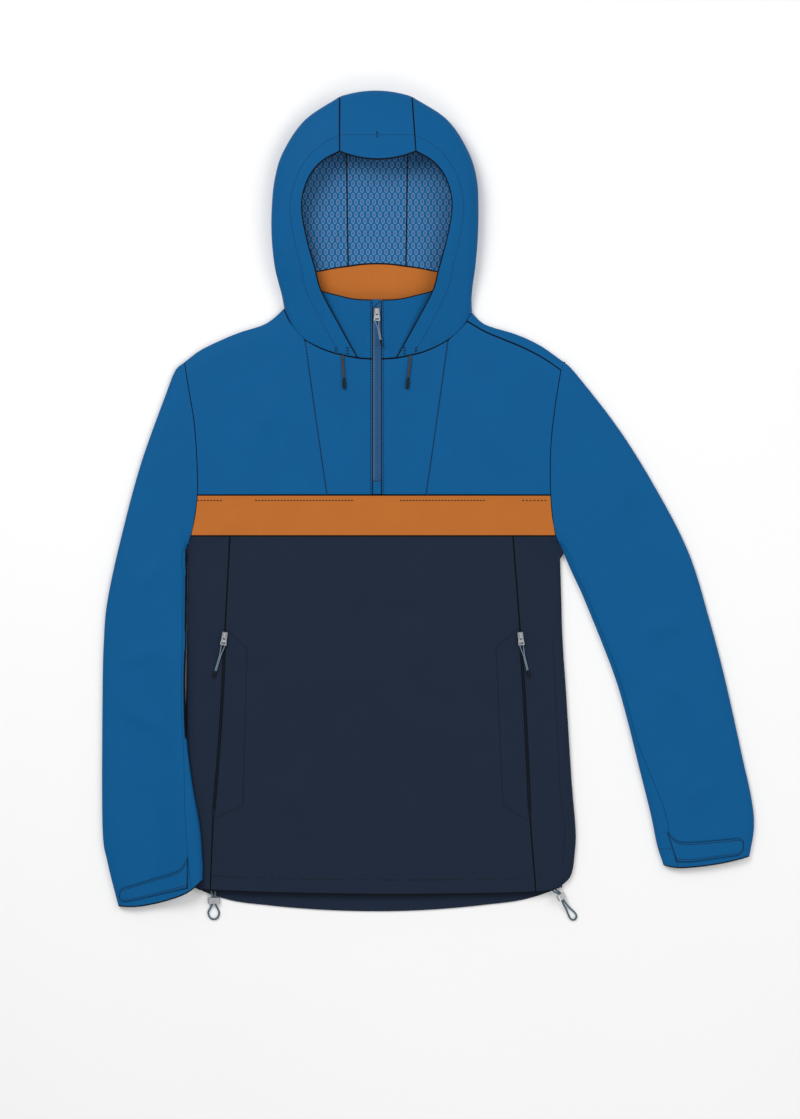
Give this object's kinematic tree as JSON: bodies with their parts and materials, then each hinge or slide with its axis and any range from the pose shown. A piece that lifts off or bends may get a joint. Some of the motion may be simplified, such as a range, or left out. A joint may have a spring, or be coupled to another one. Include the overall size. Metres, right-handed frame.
{
  "type": "hooded anorak pullover",
  "caption": "Hooded pullover jacket laid flat, with a half front zip, zipped pockets, strap cuffs, a mesh-lined hood and a longer back hem; pulled on over the head.",
  "frame": {"origin": "on the underside of the back, on the front centre line at underarm level", "axes": "+X towards the wearer's left, +Y from the hem to the hood, +Z out of the front, away from the surface that the garment lies on"},
  "size_m": [0.8817, 1.1195, 0.047],
  "materials": {
    "shell_blue": "matte",
    "band_orange": "matte",
    "lower_navy": "matte",
    "hood_mesh": "matte",
    "zip_tape": "matte",
    "cord": "matte",
    "puller_cord": "matte",
    "trim_black": "matte",
    "metal": "satin"
  },
  "bodies": {
    "garment": {"front_yoke_side_R": "shell_blue", "front_yoke_side_L": "shell_blue", "front_yoke_centre_R": "shell_blue", "front_yoke_centre_L": "shell_blue", "back_yoke": "shell_blue", "sleeve_top_R": "shell_blue", "sleeve_top_L": "shell_blue", "sleeve_under_R": "shell_blue", "sleeve_under_L": "shell_blue", "cuff_tab_R": "shell_blue", "cuff_tab_L": "shell_blue", "hood_side_R": "shell_blue", "hood_side_L": "shell_blue", "hood_centre": "shell_blue", "collar_front_R": "shell_blue", "collar_front_L": "shell_blue", "zip_end_tab": "shell_blue", "zip_garage": "shell_blue", "front_band": "band_orange", "back_neck_facing": "band_orange", "front_lower_centre": "lower_navy", "front_lower_side_R": "lower_navy", "front_lower_side_L": "lower_navy", "back_lower": "lower_navy", "pocket_bag_R": "lower_navy", "pocket_bag_L": "lower_navy", "hood_lining_side_R": "hood_mesh", "hood_lining_side_L": "hood_mesh", "hood_lining_centre": "hood_mesh", "zip_tape": "zip_tape", "pocket_zip_R": "zip_tape", "pocket_zip_L": "zip_tape", "drawcord_R": "cord", "drawcord_L": "cord", "hem_cord_R": "cord", "hem_cord_L": "cord", "drawcord_tip_R": "trim_black", "drawcord_tip_L": "trim_black", "zip_slider": "metal", "pocket_slider_R": "metal", "pocket_slider_L": "metal", "hem_cord_stop_R": "metal", "hem_cord_stop_L": "metal"},
    "zip_pull_body": {"zip_pull": "metal", "zip_puller": "puller_cord", "zip_puller_end": "trim_black"},
    "pocket_pull_body_R": {"pocket_pull_R": "metal", "pocket_puller_R": "puller_cord", "pocket_puller_R_end": "trim_black"},
    "pocket_pull_body_L": {"pocket_pull_L": "metal", "pocket_puller_L": "puller_cord", "pocket_puller_L_end": "trim_black"}
  },
  "joints": [
    {"name": "zip_pull_hinge", "type": "hinge", "parent": "garment", "child": "zip_pull_body", "pos_m": [0, 0.315, 0.02136], "axis": [-1, 0, 0], "range_deg": [0, 150]},
    {"name": "pocket_pull_hinge_R", "type": "hinge", "parent": "garment", "child": "pocket_pull_body_R", "pos_m": [-0.20554, -0.122, 0.0157], "axis": [-0.9903, 0.1392, 0], "range_deg": [0, 150]},
    {"name": "pocket_pull_hinge_L", "type": "hinge", "parent": "garment", "child": "pocket_pull_body_L", "pos_m": [0.1936, -0.122, 0.0157], "axis": [-0.9945, -0.1045, 0], "range_deg": [0, 150]}
  ]
}
